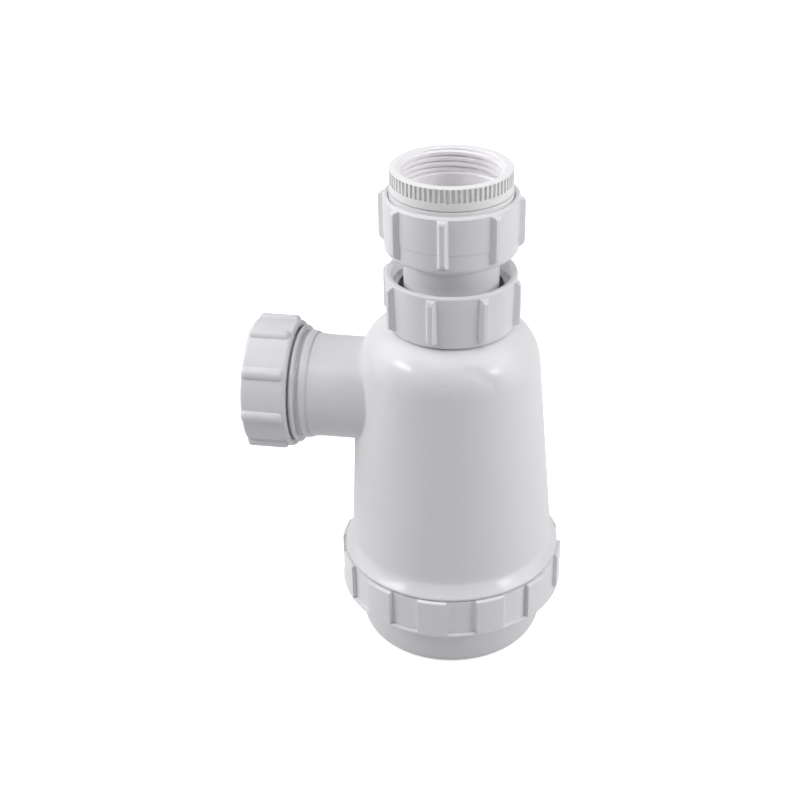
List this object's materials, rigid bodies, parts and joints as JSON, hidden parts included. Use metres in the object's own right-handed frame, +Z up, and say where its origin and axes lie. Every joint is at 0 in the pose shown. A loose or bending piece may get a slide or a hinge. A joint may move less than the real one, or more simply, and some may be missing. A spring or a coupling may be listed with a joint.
{
  "type": "telescopic bottle trap",
  "caption": "White plastic bottle trap for a basin: telescopic inlet tube with ribbed compression nuts, side outlet and a screwed base cup.",
  "frame": {"origin": "centre of the base cup's flat underside", "axes": "+Z up along the inlet, -X along the outlet"},
  "size_m": [0.1338, 0.0978, 0.2173],
  "materials": {
    "body_plastic": "satin white moulded polypropylene",
    "nut_plastic": "satin cool white moulded polypropylene",
    "tube_plastic": "satin warm white moulded polypropylene",
    "seal_rubber": "matt black rubber",
    "slip_nylon": "natural nylon"
  },
  "bodies": {
    "cup": {"base_cup": "body_plastic"},
    "cup_seal": {"base_seal": "seal_rubber"},
    "trap": {"trap_body": "body_plastic", "dip_tube": "body_plastic", "lower_seal": "seal_rubber", "outlet_seal": "seal_rubber"},
    "lower_ring": {"lower_slip_ring": "slip_nylon"},
    "lower_nut": {"lower_nut": "nut_plastic"},
    "tube": {"telescopic_tube": "tube_plastic"},
    "collar": {"inlet_collar": "tube_plastic", "inlet_washer": "slip_nylon", "top_seal": "seal_rubber"},
    "top_ring": {"top_slip_ring": "slip_nylon"},
    "top_nut": {"top_nut": "nut_plastic"},
    "outlet_ring": {"outlet_slip_ring": "slip_nylon"},
    "outlet_nut": {"outlet_nut": "nut_plastic"}
  },
  "joints": [
    {"name": "cup_lift", "type": "slide", "parent": "cup", "child": "cup_seal", "axis": [0, 0, 1], "range_m": [0, 0.0121]},
    {"name": "cup_turn", "type": "hinge", "parent": "cup_seal", "child": "trap", "pos_m": [0, 0, 0.03], "axis": [0, 0, 1], "range_deg": [0, 1080]},
    {"name": "tube_slide", "type": "slide", "parent": "trap", "child": "tube", "axis": [0, 0, 1], "range_m": [-0.008, 0.06]},
    {"name": "collar_turn", "type": "hinge", "parent": "tube", "child": "collar", "pos_m": [0, 0, 0.196], "axis": [0, 0, 1], "continuous": true},
    {"name": "top_ring_slide", "type": "slide", "parent": "collar", "child": "top_ring", "axis": [0, 0, -1], "range_m": [0, 0.0091]},
    {"name": "top_nut_turn", "type": "hinge", "parent": "top_ring", "child": "top_nut", "pos_m": [0, 0, 0.19], "axis": [0, 0, -1], "range_deg": [0, 1080]},
    {"name": "lower_ring_slide", "type": "slide", "parent": "trap", "child": "lower_ring", "axis": [0, 0, 1], "range_m": [0, 0.0091]},
    {"name": "lower_nut_turn", "type": "hinge", "parent": "lower_ring", "child": "lower_nut", "pos_m": [0, 0, 0.163], "axis": [0, 0, 1], "range_deg": [0, 1080]},
    {"name": "outlet_ring_slide", "type": "slide", "parent": "trap", "child": "outlet_ring", "axis": [-1, 0, 0], "range_m": [0, 0.0091]},
    {"name": "outlet_nut_turn", "type": "hinge", "parent": "outlet_ring", "child": "outlet_nut", "pos_m": [-0.08, 0, 0.115], "axis": [-1, 0, 0], "range_deg": [0, 1080]}
  ],
  "couplings": [
    {"joint": "cup_lift", "follows": "cup_turn", "m_per_rad": 0.00063662},
    {"joint": "top_ring_slide", "follows": "top_nut_turn", "m_per_rad": 0.00047746},
    {"joint": "lower_ring_slide", "follows": "lower_nut_turn", "m_per_rad": 0.00047746},
    {"joint": "outlet_ring_slide", "follows": "outlet_nut_turn", "m_per_rad": 0.00047746}
  ]
}
